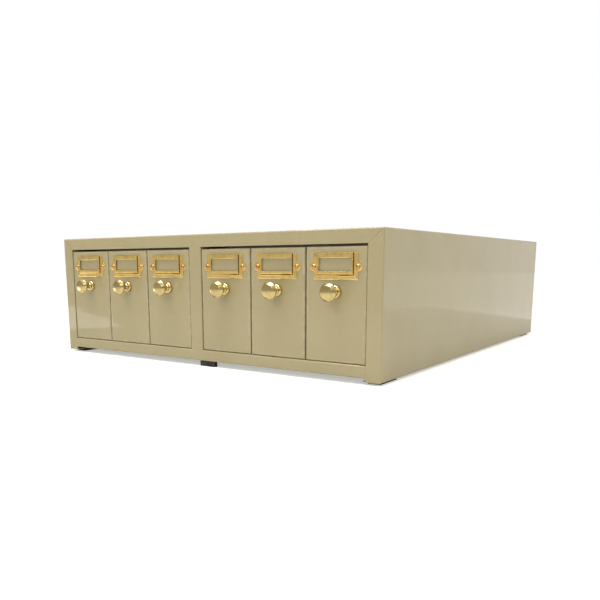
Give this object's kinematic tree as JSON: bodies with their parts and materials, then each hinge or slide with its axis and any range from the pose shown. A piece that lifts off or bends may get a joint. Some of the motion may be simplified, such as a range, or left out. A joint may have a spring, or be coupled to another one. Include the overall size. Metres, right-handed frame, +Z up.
{
  "type": "card catalog cabinet",
  "caption": "Low steel card catalog cabinet with upright drawers in two banks, brass label holders and knobs, sliding trays and card followers.",
  "frame": {"origin": "bottom centre of the bounding box of the closed cabinet, on the surface it stands on; knobs and rear screw heads count in the box", "axes": "+Z up; -Y the drawer fronts, +Y the back panel; +X to the right as seen facing the drawers"},
  "size_m": [0.6096, 0.75, 0.194],
  "materials": {
    "case_paint": "glossy baked enamel, putty tan",
    "tray_paint": "semi-gloss enamel, putty tan",
    "bright_steel": "zinc plated sheet, dull",
    "zinc_screws": "bright zinc plate",
    "stamped_brass": "stamped and polished, lacquered",
    "red_brass_pins": "round-head pins, polished",
    "turned_brass": "turned and polished",
    "foot_rubber": "matt black"
  },
  "bodies": {
    "cabinet": {"cabinet_shell": "case_paint", "back_panel": "case_paint", "back_panel_screws": "zinc_screws", "base_pan": "case_paint", "bottom_rail": "case_paint", "centre_stile": "case_paint", "centre_partition": "case_paint", "centre_guide": "bright_steel", "left_side_guide": "bright_steel", "right_side_guide": "bright_steel", "left_stop_bar": "bright_steel", "right_stop_bar": "bright_steel", "divider_guide_1": "bright_steel", "divider_guide_2": "bright_steel", "divider_guide_3": "bright_steel", "divider_guide_4": "bright_steel", "corner_feet": "foot_rubber", "centre_foot": "foot_rubber"},
    "drawer_1": {"drawer_1_front": "case_paint", "drawer_1_tray": "tray_paint", "drawer_1_label_holder": "stamped_brass", "drawer_1_label_pins": "red_brass_pins", "drawer_1_knob": "turned_brass", "drawer_1_knob_screw": "zinc_screws"},
    "follower_1": {"drawer_1_follower": "bright_steel"},
    "drawer_2": {"drawer_2_front": "case_paint", "drawer_2_tray": "tray_paint", "drawer_2_label_holder": "stamped_brass", "drawer_2_label_pins": "red_brass_pins", "drawer_2_knob": "turned_brass", "drawer_2_knob_screw": "zinc_screws"},
    "follower_2": {"drawer_2_follower": "bright_steel"},
    "drawer_3": {"drawer_3_front": "case_paint", "drawer_3_tray": "tray_paint", "drawer_3_label_holder": "stamped_brass", "drawer_3_label_pins": "red_brass_pins", "drawer_3_knob": "turned_brass", "drawer_3_knob_screw": "zinc_screws"},
    "follower_3": {"drawer_3_follower": "bright_steel"},
    "drawer_4": {"drawer_4_front": "case_paint", "drawer_4_tray": "tray_paint", "drawer_4_label_holder": "stamped_brass", "drawer_4_label_pins": "red_brass_pins", "drawer_4_knob": "turned_brass", "drawer_4_knob_screw": "zinc_screws"},
    "follower_4": {"drawer_4_follower": "bright_steel"},
    "drawer_5": {"drawer_5_front": "case_paint", "drawer_5_tray": "tray_paint", "drawer_5_label_holder": "stamped_brass", "drawer_5_label_pins": "red_brass_pins", "drawer_5_knob": "turned_brass", "drawer_5_knob_screw": "zinc_screws"},
    "follower_5": {"drawer_5_follower": "bright_steel"},
    "drawer_6": {"drawer_6_front": "case_paint", "drawer_6_tray": "tray_paint", "drawer_6_label_holder": "stamped_brass", "drawer_6_label_pins": "red_brass_pins", "drawer_6_knob": "turned_brass", "drawer_6_knob_screw": "zinc_screws"},
    "follower_6": {"drawer_6_follower": "bright_steel"}
  },
  "joints": [
    {"name": "drawer_1_slide", "type": "slide", "parent": "cabinet", "child": "drawer_1", "axis": [0, -1, 0], "range_m": [0, 0.5418]},
    {"name": "follower_1_slide", "type": "slide", "parent": "drawer_1", "child": "follower_1", "axis": [0, -1, 0], "range_m": [0, 0.5808]},
    {"name": "drawer_2_slide", "type": "slide", "parent": "cabinet", "child": "drawer_2", "axis": [0, -1, 0], "range_m": [0, 0.5418]},
    {"name": "follower_2_slide", "type": "slide", "parent": "drawer_2", "child": "follower_2", "axis": [0, -1, 0], "range_m": [0, 0.5808]},
    {"name": "drawer_3_slide", "type": "slide", "parent": "cabinet", "child": "drawer_3", "axis": [0, -1, 0], "range_m": [0, 0.5418]},
    {"name": "follower_3_slide", "type": "slide", "parent": "drawer_3", "child": "follower_3", "axis": [0, -1, 0], "range_m": [0, 0.5808]},
    {"name": "drawer_4_slide", "type": "slide", "parent": "cabinet", "child": "drawer_4", "axis": [0, -1, 0], "range_m": [0, 0.5418]},
    {"name": "follower_4_slide", "type": "slide", "parent": "drawer_4", "child": "follower_4", "axis": [0, -1, 0], "range_m": [0, 0.5808]},
    {"name": "drawer_5_slide", "type": "slide", "parent": "cabinet", "child": "drawer_5", "axis": [0, -1, 0], "range_m": [0, 0.5418]},
    {"name": "follower_5_slide", "type": "slide", "parent": "drawer_5", "child": "follower_5", "axis": [0, -1, 0], "range_m": [0, 0.5808]},
    {"name": "drawer_6_slide", "type": "slide", "parent": "cabinet", "child": "drawer_6", "axis": [0, -1, 0], "range_m": [0, 0.5418]},
    {"name": "follower_6_slide", "type": "slide", "parent": "drawer_6", "child": "follower_6", "axis": [0, -1, 0], "range_m": [0, 0.5808]}
  ]
}
